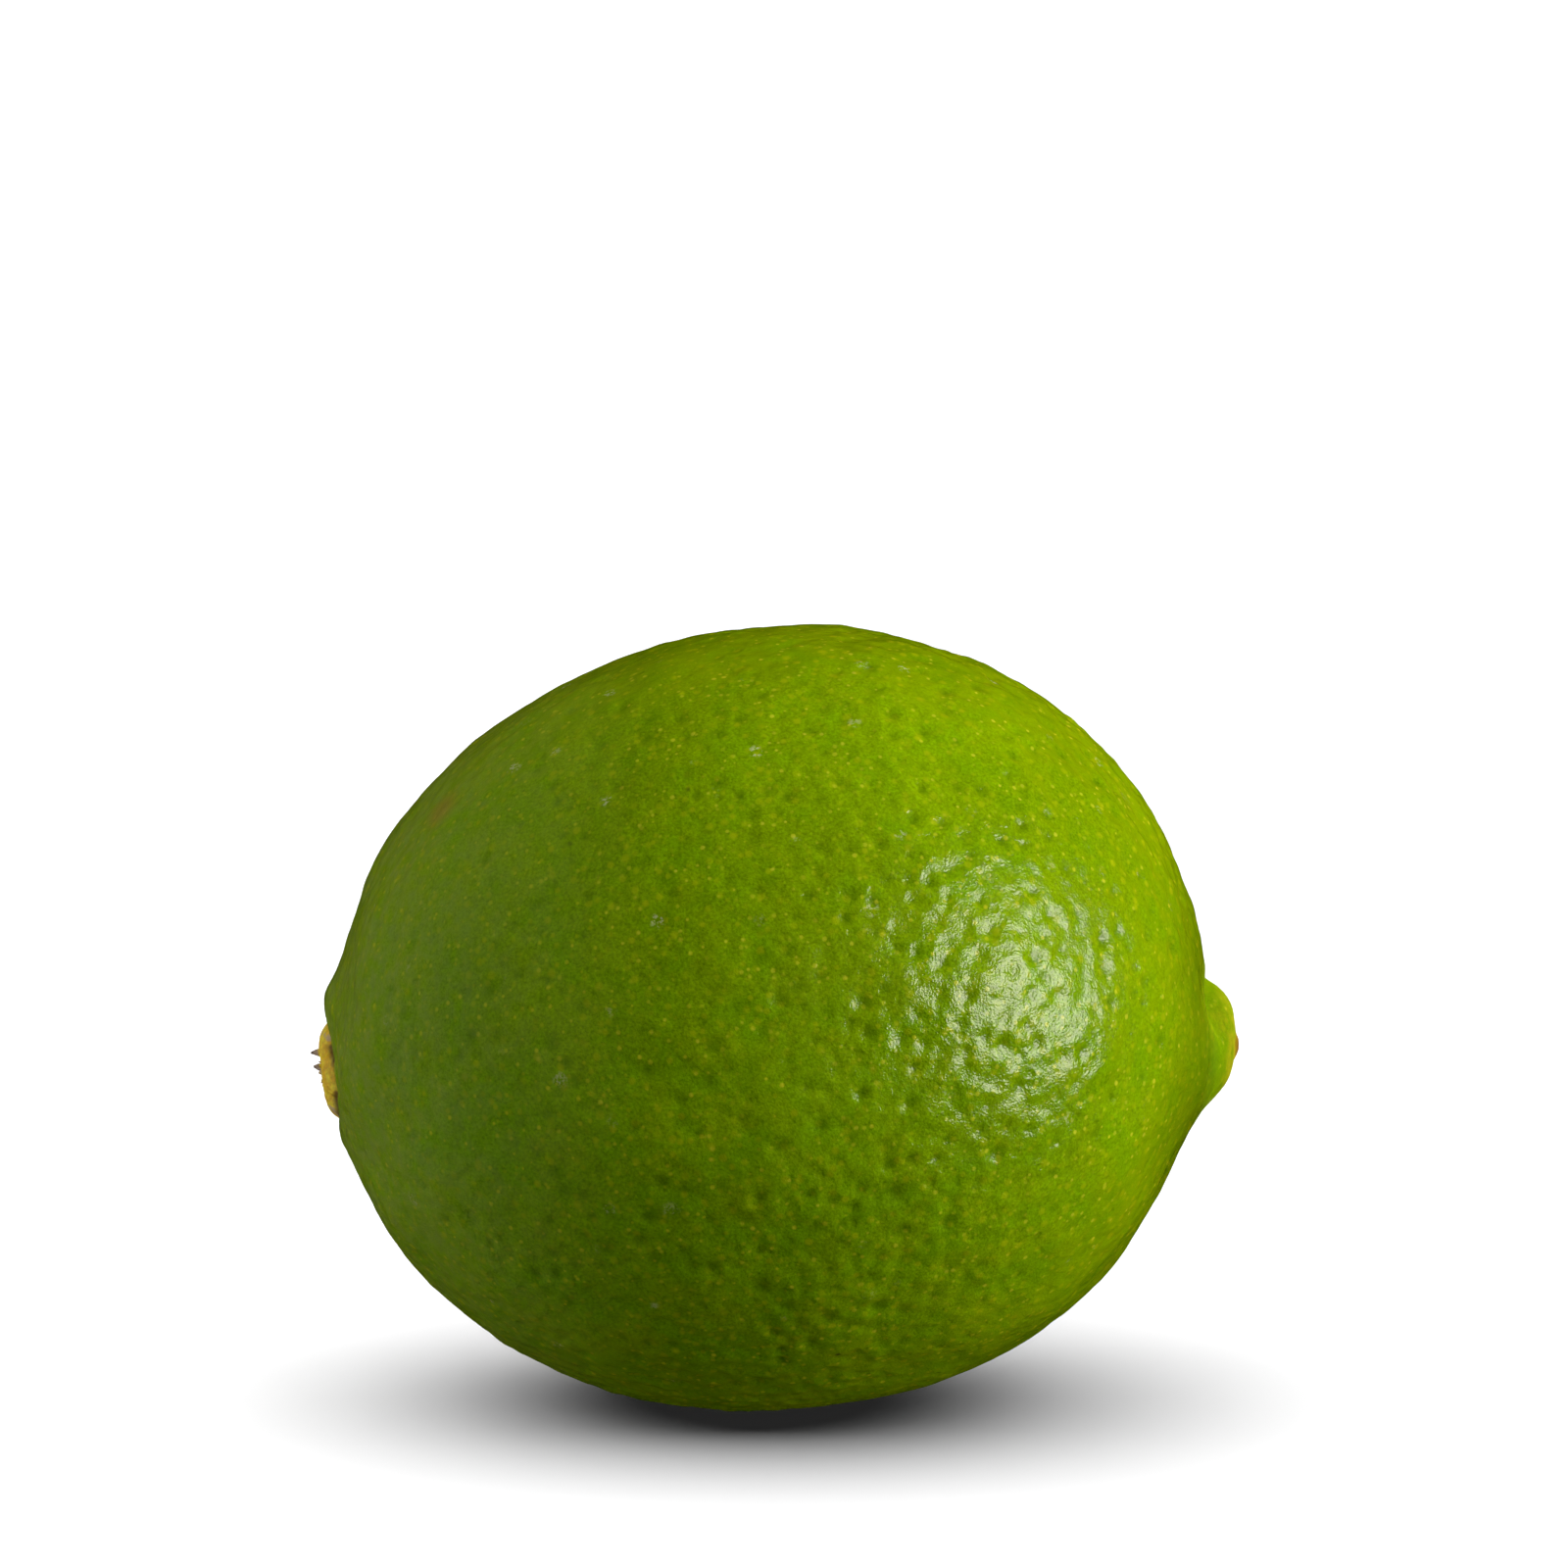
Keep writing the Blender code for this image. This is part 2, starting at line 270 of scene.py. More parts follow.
class EndFrame:
    """A frame on one end of the fruit: where it is, which way is out, and which way is up."""

    def __init__(self, end, offset):
        self.centre = core_point(end, offset)
        self.out = core_normals(self.centre[None])[0]
        self.side = np.array([0.0, 1.0, 0.0])
        self.up = np.array([0.0, 0.0, 1.0]) - self.out[2] * self.out
        self.up /= np.linalg.norm(self.up)

    def spread(self, points):
        """How far each point lies from the axis through this end, and how far round towards the top."""
        rise = (points - self.centre) @ self.up
        sideways = (points - self.centre) @ self.side
        distance = np.hypot(rise, sideways)
        return distance, rise / np.maximum(distance, TINY)

    def on_this_end(self, points):
        """Which of the points lie on this end of the fruit."""
        return (points - self.centre) @ self.out > -END_REACH

    def matrix(self):
        """From this frame, with X sideways, Y up and Z out of the end, to the fruit's."""
        columns = (np.cross(self.up, self.out), self.up, self.out, self.centre)
        made = Matrix.Identity(4)
        for index, column in enumerate(columns):
            for row in range(3):
                made[row][index] = column[row]
        return made


STEM_END = EndFrame(-1, STEM_OFFSET)
BLOSSOM_END = EndFrame(1, NIPPLE_OFFSET)


def resting_matrix():
    """Tilts the core, and lifts the fruit until its top is level with the top of the CAD fruit."""
    top = math.hypot(BLOSSOM_HALF * math.sin(CORE_TILT), GIRTH_RADIUS * math.cos(CORE_TILT))
    move = Matrix.Translation((CORE_SHIFT, 0, FRUIT_HIGH.z - top))
    return move @ Matrix.Rotation(-CORE_TILT, 4, "Y")


def smooth_step(value, low, high):
    """0 up to the low value and 1 from the high one, with a smooth rise between."""
    share = np.clip((value - low) / (high - low), 0, 1)
    return share * share * (3 - 2 * share)


def bell(value, middle, width):
    """1 at the middle value, fading to 0 on both sides of it."""
    return np.exp(-(((value - middle) / width) ** 2))


def stem_height(points):
    """How far the collar round the button stands out, less the dish inside it and the neck over it."""
    distance, upward = STEM_END.spread(points)
    evenness = (1 + COLLAR_DIP) * upward**2 - COLLAR_DIP
    crest = COLLAR_HEIGHT * evenness - COLLAR_SINK * np.maximum(-upward, 0)
    swell = crest * bell(distance, COLLAR_RADIUS, COLLAR_WIDTH)
    dish = DISH_DEPTH * (1 - smooth_step(distance, DISH_RADIUS - DISH_SLOPE, DISH_RADIUS))
    neck = NECK_DEPTH * np.maximum(upward, 0) * bell(distance, NECK_RADIUS, NECK_WIDTH)
    return np.where(STEM_END.on_this_end(points), swell - dish - neck, 0)


def nipple_height(points):
    """How far the nipple and the scar on its tip stand out, less the crease and the hollow round it."""
    distance, upward = BLOSSOM_END.spread(points)
    share = distance / NIPPLE_RADIUS
    sideways = 1 - upward**2
    foot = NIPPLE_FOOT + NIPPLE_SIDE_FOOT * sideways
    soft = 1 / (1 + (share / foot) ** (NIPPLE_FOOT_POWER - NIPPLE_SIDE_POWER * sideways))
    soft *= 1 - smooth_step(distance, FOOT_FADE_START, FOOT_FADE_END)
    crisp = np.maximum(1 - (share / NIPPLE_CREASE) ** NIPPLE_BLUNTNESS, 0)
    upper = smooth_step(upward, UPPER_START, UPPER_END)
    crease = CREASE_DEPTH * upper * bell(share, NIPPLE_CREASE, CREASE_WIDTH)
    scar = SCAR_HEIGHT * np.exp(-((distance / SCAR_RADIUS) ** SCAR_BLUNTNESS))
    hollow = BASE_DEPTH * np.maximum(-upward, 0) * bell(distance, BASE_RADIUS, BASE_WIDTH)
    height = NIPPLE_HEIGHT * (upper * crisp + (1 - upper) * soft) - crease - hollow + scar
    return np.where(BLOSSOM_END.on_this_end(points), height, 0)


# ---------------------------------------------------------------- relief and mesh of the rind


def waves(points, wavelength, random, stretch=1.0):
    """Soft random swellings of this wavelength, drawn out round the girth by the stretch. About -1 to 1."""
    heading = random.normal(size=(WAVE_COUNT, 3)) * (stretch, 1, 1)
    heading /= np.linalg.norm(heading, axis=1)[:, None]
    pace = 2 * math.pi / wavelength * random.uniform(1 - WAVE_SPREAD, 1 + WAVE_SPREAD, WAVE_COUNT)
    phase = random.uniform(0, 2 * math.pi, WAVE_COUNT)
    total = np.zeros(len(points))
    for index in range(WAVE_COUNT):
        total += np.cos(points @ (heading[index] * pace[index]) + phase[index])
    return total / math.sqrt(WAVE_COUNT)


def point_tree(points):
    """A search tree that finds the nearest of these points."""
    tree = KDTree(len(points))
    for index, point in enumerate(points):
        tree.insert(point, index)
    tree.balance()
    return tree


def pit_spots(random):
    """Random places on the fruit, one for each pit, that keep apart."""
    candidates = random.normal(size=(PIT_TRIES, 3))
    candidates /= np.linalg.norm(candidates, axis=1)[:, None]
    spots = core_surface(candidates)
    tree = point_tree(spots)
    taken = np.zeros(len(spots), bool)
    for index, spot in enumerate(spots):
        near = [other for _, other, _ in tree.find_range(spot, PIT_SPACING)]
        taken[index] = not taken[near].any()
    return spots[taken]


def pit_mask(points, random):
    """How deep in a pit each point lies, 0 to 1. The pits differ in size and depth."""
    spots = pit_spots(random)
    depth = random.uniform(*PIT_DEPTH_RANGE, len(spots)) ** PIT_DEPTH_POWER
    radius = PIT_RADIUS * random.uniform(*PIT_RADIUS_RANGE, len(spots))
    tree = point_tree(spots)
    mask = np.zeros(len(points))
    for index, point in enumerate(points):
        for _, pit, distance in tree.find_n(point, PIT_NEIGHBOURS):
            mask[index] = max(mask[index], depth[pit] * math.exp(-((distance / radius[pit]) ** 2)))
    return mask


def relief_strength(points):
    """How strong the cobble and the pits are at each point, as a share."""
    along, height = points[:, 0], points[:, 2]
    strength = STEM_STRENGTH + (1 - STEM_STRENGTH) * smooth_step(along - STEM_SLANT * height, *STEM_FADE)
    return strength * (1 - BLOSSOM_LOSS * smooth_step(along - height, *BLOSSOM_FADE))


def relief_of(points):
    """How far the relief raises each point of the smooth fruit, and how deep in a pit each point lies."""
    strength = relief_strength(points)
    broad = np.random.default_rng(SWELL_SEED)
    relief = SWELL_HEIGHT * waves(points, SWELL_WAVELENGTH, broad)
    relief += RIPPLE_HEIGHT * waves(points, RIPPLE_WAVELENGTH, broad, RIPPLE_STRETCH)
    fine = np.random.default_rng(SEED)
    relief += strength * COBBLE_HEIGHT * waves(points, COBBLE_WAVELENGTH, fine)
    pits = pit_mask(points, fine)
    relief -= strength * PIT_DEPTH * pits
    return relief, pits


def cube_side(axis, side, count):
    """The corners of the quads on one side of a cube grid, four to a quad, and their places in the map."""
    corners = np.array([(0, 0), (1, 0), (1, 1), (0, 1)])
    if (side == 0) != (axis == 1):
        corners = corners[::-1]  # so that the quads face outwards
    steps = np.arange(count)
    cells = np.stack(np.meshgrid(steps, steps, indexing="ij"), axis=-1).reshape(-1, 1, 2)
    within = (cells + corners).reshape(-1, 2)
    tile = np.array([axis, side > 0])
    inside = within / count * TILE_FILL + TILE_MARGIN
    return np.insert(within, axis, side, axis=1), (tile + inside) / TILES


def cube_sphere(count):
    """Directions, quads and their map places for a cube grid of this many cells a side, blown up round."""
    sides = [cube_side(axis, side, count) for axis in range(3) for side in (0, count)]
    lattice = np.concatenate([corners for corners, _ in sides])
    places = np.concatenate([places for _, places in sides])
    points, index = np.unique(lattice, axis=0, return_inverse=True)
    spread = np.tan((2 * points / count - 1) * math.pi / 4)
    directions = spread / np.linalg.norm(spread, axis=1)[:, None]
    return directions, index.reshape(-1, 4), places


def add_object(name, data):
    thing = bpy.data.objects.new(name, data)
    bpy.context.scene.collection.objects.link(thing)
    return thing


def flatten_underside(mesh):
    """Brings up to the ground whatever lies below it."""
    coordinates = np.empty(len(mesh.vertices) * 3, np.float32)
    mesh.vertices.foreach_get("co", coordinates)
    coordinates[2::3] = np.maximum(coordinates[2::3], 0)
    mesh.vertices.foreach_set("co", coordinates)


def store(mesh, name, values):
    """Keeps a number for each point of the mesh, for its material to read."""
    attribute = mesh.attributes.new(name, "FLOAT", "POINT")
    attribute.data.foreach_set("value", values.astype(np.float32))


def build_rind():
    directions, quads, places = cube_sphere(GRID)
    core = core_surface(directions)
    stem_distance, _ = STEM_END.spread(core)
    bare = np.where(STEM_END.on_this_end(core), 1 - smooth_step(stem_distance, BARE_RADIUS, BARE_EDGE), 0)
    relief, pits = relief_of(core)
    relief *= 1 - bare
    points = core + stem_height(core)[:, None] * STEM_END.out
    points += nipple_height(core)[:, None] * BLOSSOM_END.out
    points += relief[:, None] * core_normals(core)

    mesh = bpy.data.meshes.new("rind")
    mesh.from_pydata(points.tolist(), [], quads.tolist())
    mesh.transform(resting_matrix())
    flatten_underside(mesh)
    layer = mesh.uv_layers.new(name="OFBake")
    layer.uv.foreach_set("vector", places.astype(np.float32).ravel())
    store(mesh, "pit", pits)
    store(mesh, "seam", bare)
    mesh.shade_smooth()
    mesh.update()
    return add_object("rind", mesh)


# ---------------------------------------------------------------- node helpers

# The Mix node's sockets for colours.
MIX_FIRST = 6
MIX_SECOND = 7
MIX_RESULT = 2


class Shader:
    """A material with one Principled shader, and short calls for the nodes that feed it.

    Centres and origins are given in metres. Every other place and size is in millimetres.
    """

    def __init__(self, name):
        self.material = bpy.data.materials.new(name)
        self.material.use_nodes = True
        self.tree = self.material.node_tree
        self.principled = self.tree.nodes["Principled BSDF"]
        coordinates = self.tree.nodes.new("ShaderNodeTexCoord")
        self.place = self.scaled(coordinates.outputs["Object"], (1 / MM, 1 / MM, 1 / MM))

    def feed(self, socket, value):
        """Links a node's output to the socket, or sets the socket to a number, a vector or a colour."""
        if isinstance(value, bpy.types.NodeSocket):
            self.tree.links.new(value, socket)
        elif socket.type == "RGBA" and len(value) == 3:
            socket.default_value = (*value, 1)
        else:
            socket.default_value = value

    def finish(self, name, value):
        """Feeds an input of the Principled shader."""
        self.feed(self.principled.inputs[name], value)

    def vector_math(self, operation, first, second):
        node = self.tree.nodes.new("ShaderNodeVectorMath")
        node.operation = operation
        self.feed(node.inputs[0], first)
        self.feed(node.inputs[1], second)
        return node

    def scaled(self, vector, factors):
        """The vector or colour with each channel multiplied by its own factor."""
        return self.vector_math("MULTIPLY", vector, factors).outputs[0]

    def scaled_by(self, vector, factor):
        """The vector or colour multiplied by one factor."""
        node = self.tree.nodes.new("ShaderNodeVectorMath")
        node.operation = "SCALE"
        self.feed(node.inputs[0], vector)
        self.feed(node.inputs["Scale"], factor)
        return node.outputs[0]

    def height_along(self, origin, axis):
        """How far a place lies from the origin in the direction of the axis."""
        along = self.vector_math("DOT_PRODUCT", self.place, tuple(axis)).outputs["Value"]
        return self.math("SUBTRACT", along, origin.dot(axis) / MM)

    def near(self, centre, inner, outer):
        """1 within the inner distance of a place, falling to 0 at the outer."""
        centre = tuple(value / MM for value in centre)
        distance = self.vector_math("DISTANCE", self.place, centre).outputs["Value"]
        return self.ramp(distance, inner, outer, 1.0, 0.0)

    def math(self, operation, *values):
        node = self.tree.nodes.new("ShaderNodeMath")
        node.operation = operation
        for socket, value in zip(node.inputs, values):
            self.feed(socket, value)
        return node.outputs[0]

    def product(self, first, second):
        return self.math("MULTIPLY", first, second)

    def noise(self, size, detail=2.0, roughness=0.5):
        node = self.tree.nodes.new("ShaderNodeTexNoise")
        self.feed(node.inputs["Vector"], self.place)
        node.inputs["Scale"].default_value = 1 / size
        node.inputs["Detail"].default_value = detail
        node.inputs["Roughness"].default_value = roughness
        return node.outputs["Fac"]

    def cells(self, size):
        """The distance to the middle of the nearest of many cells, and a random colour for each cell."""
        node = self.tree.nodes.new("ShaderNodeTexVoronoi")
        self.feed(node.inputs["Vector"], self.place)
        node.inputs["Scale"].default_value = 1 / size
        return node.outputs["Distance"], node.outputs["Color"]

    def facing(self):
        """0 where the surface faces the viewer, rising to 1 where it turns away."""
        return self.tree.nodes.new("ShaderNodeLayerWeight").outputs["Facing"]

    def axis_of(self, vector, index):
        node = self.tree.nodes.new("ShaderNodeSeparateXYZ")
        self.feed(node.inputs[0], vector)
        return node.outputs[index]

    def channel_of(self, colour, index):
        node = self.tree.nodes.new("ShaderNodeSeparateColor")
        self.feed(node.inputs[0], colour)
        return node.outputs[index]

    def ramp(self, value, low, high, to_low=0.0, to_high=1.0, smooth=True):
        """Goes from one number to another as the value goes from low to high, and stays there beyond."""
        node = self.tree.nodes.new("ShaderNodeMapRange")
        node.interpolation_type = "SMOOTHSTEP" if smooth else "LINEAR"
        for name, given in (
            ("Value", value),
            ("From Min", low),
            ("From Max", high),
            ("To Min", to_low),
            ("To Max", to_high),
        ):
            self.feed(node.inputs[name], given)
        return node.outputs["Result"]

    def mix(self, factor, first, second):
        """The first colour where the factor is 0, and the second where it is 1."""
        node = self.tree.nodes.new("ShaderNodeMix")
        node.data_type = "RGBA"
        self.feed(node.inputs["Factor"], factor)
        self.feed(node.inputs[MIX_FIRST], first)
        self.feed(node.inputs[MIX_SECOND], second)
        return node.outputs[MIX_RESULT]

    def attribute(self, name):
        node = self.tree.nodes.new("ShaderNodeAttribute")
        node.attribute_name = name
        return node.outputs["Fac"]

    def bump(self, height, distance, normal=None):
        """The normal of a surface raised by this distance, in metres, where the height is 1."""
        node = self.tree.nodes.new("ShaderNodeBump")
        node.inputs["Distance"].default_value = distance
        self.feed(node.inputs["Height"], height)
        if normal:
            self.feed(node.inputs["Normal"], normal)
        return node.outputs["Normal"]


# ---------------------------------------------------------------- rind material

LEAF_GREEN = (0.160, 0.332, 0.0008)
OLIVE_GREEN = (0.212, 0.345, 0.0008)
GLAND_COLOUR = (0.330, 0.420, 0.003)
POINT_COLOUR = (0.480, 0.520, 0.018)
# Painted shade in the pits
PIT_SHADE_COLOUR = (0.085, 0.185, 0.001)
NIPPLE_COLOUR = (0.330, 0.290, 0.006)
TIP_COLOUR = (0.420, 0.200, 0.012)
SCAR_COLOUR = (0.100, 0.018, 0.006)
# Waxy bloom together with a painted bluish sheen
BLOOM_AND_SHEEN_COLOUR = (0.215, 0.325, 0.060)
BLUSH_COLOUR = (0.330, 0.220, 0.040)
FLECK_COLOUR = (0.560, 0.580, 0.260)
SPECK_COLOUR = (0.045, 0.050, 0.006)
# Painted sheen: how much redder and yellower the rind turns where it faces away from view
LIMB_SHEEN_TINT = (1.22, 1.06, 1.0)
# Bare brown tissue with painted shade in the gap round the button
SEAM_SHADE_COLOUR = (0.045, 0.028, 0.008)

# Round spots, in millimetres. A spot whose strength comes out below 0 doesn't show.
GLANDS = {"spacing": 0.80, "smallest": 0.22, "largest": 0.42, "weakest": 0.1, "strongest": 0.9}
POINTS = {"spacing": 0.66, "smallest": 0.13, "largest": 0.24, "weakest": -0.1, "strongest": 1.0}
SPECKS = {"spacing": 4.3, "smallest": 0.12, "largest": 0.30, "weakest": -0.6, "strongest": 0.8}
FLECKS = {"spacing": 3.3, "smallest": 0.3, "largest": 0.8, "weakest": -0.5, "strongest": 0.9}
DIMPLES = {"spacing": 1.15, "smallest": 0.3, "largest": 0.55, "weakest": 0.1, "strongest": 1.0}
SPOT_CORE = 0.4  # how much of a spot's radius is at full strength

BLUSH_PLACE = Vector((-0.73, -0.28, 0.58))  # in the fruit's box, from -1 to 1 on each axis
BLUSH_STRENGTH = 0.5
RING_SHADE = 0.35  # how much darker the rind is round the nipple
TIP_STRENGTH = 0.5
GLOSS = 1.0
DULL_LOSS = 0.96  # how much of the gloss the nipple lacks
DULL_ROUGHNESS = 0.4  # how much rougher the nipple is
BLEMISH_BUMP = 0.14 * MM
DIMPLE_BUMP = 0.045 * MM
GRAIN_BUMP = 0.038 * MM


def dots(shader, spacing, smallest, largest, weakest, strongest):
    """Round spots scattered at this spacing. Every spot has its own radius and strength."""
    distance, cell = shader.cells(spacing)
    size = shader.ramp(
        shader.channel_of(cell, 0), 0.0, 1.0, smallest / spacing, largest / spacing, smooth=False
    )
    spot = shader.ramp(distance, shader.product(size, SPOT_CORE), size, 1.0, 0.0)
    strength = shader.ramp(shader.channel_of(cell, 1), 0.0, 1.0, weakest, strongest, smooth=False)
    return shader.product(spot, strength)


def rind_greens(shader, head_on):
    """Leaf green in patches with olive, more olive towards the top, with a fine grain seen head on."""
    patches = shader.ramp(shader.noise(size=3.2, detail=4.0, roughness=0.6), low=0.25, high=0.75)
    height = shader.axis_of(shader.place, 2)
    olive_upward = shader.ramp(height, low=5.0, high=48.0, to_low=0.05, to_high=0.4)
    colour = shader.mix(shader.math("ADD", patches, olive_upward), LEAF_GREEN, OLIVE_GREEN)
    broad = shader.ramp(shader.noise(size=15.0), low=0.3, high=0.7, to_low=0.93, to_high=1.07)
    grain = shader.noise(size=0.2, roughness=0.7)
    grain = shader.ramp(grain, low=0.25, high=0.75, to_low=-0.34, to_high=0.34, smooth=False)
    return shader.scaled_by(colour, shader.math("ADD", shader.product(grain, head_on), broad))


def rind_colour(shader):
    """The greens with oil glands, brighter points, painted shade in the pits, dark specks and pale flecks
    on them.
    """
    head_on = shader.ramp(shader.facing(), low=0.35, high=0.8, to_low=1.0, to_high=0.0)
    colour = rind_greens(shader, head_on)
    colour = shader.mix(dots(shader, **GLANDS), colour, GLAND_COLOUR)
    colour = shader.mix(dots(shader, **POINTS), colour, POINT_COLOUR)
    # Painted shade in the pits: darkest where they lie deep, and faded where the rind turns from view.
    shade = shader.ramp(shader.attribute("pit"), low=0.1, high=0.9, to_high=0.45)
    colour = shader.mix(shader.product(shade, head_on), colour, PIT_SHADE_COLOUR)
    colour = shader.mix(dots(shader, **SPECKS), colour, SPECK_COLOUR)
    ragged = shader.ramp(shader.noise(size=0.3, roughness=0.7), low=0.48, high=0.62)
    return shader.mix(shader.product(ragged, dots(shader, **FLECKS)), colour, FLECK_COLOUR)


def bloomed_with_sheen(shader, colour):
    """The grey-green waxy bloom with a painted bluish sheen, in blotches, on the half towards the stem, and
    a faint blush in it.
    """
    along = shader.axis_of(shader.place, 0)
    stemward = shader.ramp(along, low=-32.0, high=-6.0, to_low=1.0, to_high=0.0)
    blotches = shader.noise(size=1.6, detail=5.0, roughness=0.75)
    blotches = shader.ramp(blotches, low=0.30, high=0.70, to_low=0.1, to_high=0.85)
    # Waxy bloom and a painted sheen, in one grey-green colour.
    colour = shader.mix(shader.product(stemward, blotches), colour, BLOOM_AND_SHEEN_COLOUR)
    half_size = (FRUIT_HIGH - FRUIT_LOW) / 2
    blush = shader.near(FRUIT_LOW + half_size + BLUSH_PLACE * half_size, inner=0.3, outer=2.2)
    return shader.mix(shader.product(blush, BLUSH_STRENGTH), colour, BLUSH_COLOUR)


def ripened_tip(shader, colour, tip):
    """The darker ring round the nipple, the nipple's yellower patches, and the brown scar on its tip."""
    shade = shader.product(shader.near(tip, inner=7.0, outer=18.0), RING_SHADE)
    colour = shader.scaled_by(colour, shader.math("SUBTRACT", 1.0, shade))
    patches = shader.noise(size=1.3, detail=3.0, roughness=0.6)
    patches = shader.ramp(patches, low=0.35, high=0.65, to_low=0.1, to_high=0.7)
    nipple = shader.product(shader.near(tip, inner=2.0, outer=5.5), patches)
    colour = shader.mix(nipple, colour, NIPPLE_COLOUR)
    brown = shader.product(shader.near(tip, inner=0.8, outer=1.8), TIP_STRENGTH)
    colour = shader.mix(brown, colour, TIP_COLOUR)
    ragged = shader.noise(size=0.7, detail=3.0, roughness=0.6)
    ragged = shader.ramp(ragged, low=0.3, high=0.7, to_low=0.5, to_high=1.0)
    scar = shader.product(shader.near(tip, inner=0.4, outer=1.2), ragged)
    return shader.mix(scar, colour, SCAR_COLOUR)


def rind_normal(shader):
    """Faint unevenness, the dimples over the oil glands, and the fine grain of the wax."""
    normal = shader.bump(shader.noise(size=1.15, detail=1.0), BLEMISH_BUMP)
    dimples = shader.math("SUBTRACT", 1.0, dots(shader, **DIMPLES))
    normal = shader.bump(dimples, DIMPLE_BUMP, normal)
    return shader.bump(shader.noise(size=0.16, detail=1.0), GRAIN_BUMP, normal)


def rind_material():
    shader = Shader("rind")
    tip = resting_matrix() @ Vector(BLOSSOM_END.centre + NIPPLE_HEIGHT * BLOSSOM_END.out)
    dull = shader.near(tip, inner=5.0, outer=8.0)
    colour = ripened_tip(shader, bloomed_with_sheen(shader, rind_colour(shader)), tip)
    # Painted shade: near black in the gap round the button, on the bare dish.
    colour = shader.mix(shader.attribute("seam"), colour, SEAM_SHADE_COLOUR)
    # Painted sheen: redder and yellower where the rind turns from view, though not on the dull nipple.
    limb_sheen = shader.ramp(shader.facing(), low=0.2, high=0.9)
    limb_sheen = shader.product(limb_sheen, shader.math("SUBTRACT", 1.0, dull))
    shader.finish("Base Color", shader.mix(limb_sheen, colour, shader.scaled(colour, LIMB_SHEEN_TINT)))

    rough = shader.ramp(shader.noise(size=3.0, detail=3.0), low=0.3, high=0.7, to_low=0.15, to_high=0.21)
    shader.finish("Roughness", shader.math("ADD", rough, shader.product(dull, DULL_ROUGHNESS)))
    shader.finish("Specular IOR Level", shader.math("SUBTRACT", GLOSS, shader.product(dull, DULL_LOSS)))
    shader.finish("Normal", rind_normal(shader))
    shader.finish("IOR", 1.55)
    shader.finish("Subsurface Weight", 1.0)
    shader.finish("Subsurface Radius", (1.0, 1.0, 0.3))
    shader.finish("Subsurface Scale", 0.5 * MM)
    return shader.material


# ---------------------------------------------------------------- calyx button


def button_outline(turns):
    """How far the rim reaches in each direction: five blunt sepals with notches between them."""
    phase = (turns * SEPALS / (2 * math.pi)) % 1
    notch = bell(phase, 0.5, NOTCH_WIDTH)
    wobble = RIM_WOBBLE * np.cos(turns * RIM_WOBBLES + RIM_PHASE)
    return BUTTON_RADIUS * (1 - NOTCH_BITE * notch - wobble), notch


def button_top(random):
    """The button's dished and wrinkled top, in rings of points from near its middle out to its rim."""
    turns = np.arange(BUTTON_TURNS) / BUTTON_TURNS * 2 * math.pi
    reach, notch = button_outline(turns)
    shares = (np.arange(BUTTON_RINGS) + 1) / BUTTON_RINGS
    share, turn = np.meshgrid(shares, turns, indexing="ij")
    radius = share * reach[None]
    dome = BUTTON_TOP - (BUTTON_TOP - BUTTON_EDGE) * share**BUTTON_BLUNTNESS
    hollow = BUTTON_HOLLOW * np.exp(-((share / HOLLOW_SHARE) ** HOLLOW_BLUNTNESS))
    groove = GROOVE_DEPTH * notch[None] * smooth_step(share, *GROOVE_SPAN)
    columns = (radius * np.cos(turn), radius * np.sin(turn), dome - hollow - groove)
    points = np.column_stack([column.ravel() for column in columns])
    lumps = LUMP_HEIGHT * waves(points, LUMP_WAVELENGTH, random)
    lumps = lumps + GRAIN_HEIGHT * waves(points, GRAIN_WAVELENGTH, random)
    swerve = WRINKLE_SWERVE * np.cos(turn.ravel() * WRINKLE_SWERVES)
    wrinkle = WRINKLE_HEIGHT * np.cos(turn.ravel() * WRINKLES + swerve)
    points[:, 2] += lumps + wrinkle * smooth_step(share.ravel(), *WRINKLE_SPAN)
    return points


def closed_button(top):
    """The points and faces of the button: its top, the wall under its rim, and its floor."""
    wall = top[-BUTTON_TURNS:].copy()
    wall[:, :2] *= WALL_TAPER
    wall[:, 2] = BUTTON_FLOOR
    centre = np.array([[0, 0, BUTTON_TOP - BUTTON_HOLLOW]])
    base = np.array([[0, 0, BUTTON_FLOOR]])
    points = np.concatenate([top, wall, centre, base])
    centre_index, base_index = len(points) - 2, len(points) - 1
    last = BUTTON_RINGS * BUTTON_TURNS
    faces = []
    for index in range(BUTTON_TURNS):
        after = (index + 1) % BUTTON_TURNS
        faces.append((centre_index, index, after))
        for step in range(BUTTON_RINGS):
            inner, outer = step * BUTTON_TURNS, (step + 1) * BUTTON_TURNS
            faces.append((inner + index, outer + index, outer + after, inner + after))
        faces.append((last + index, base_index, last + after))
    return points.tolist(), faces


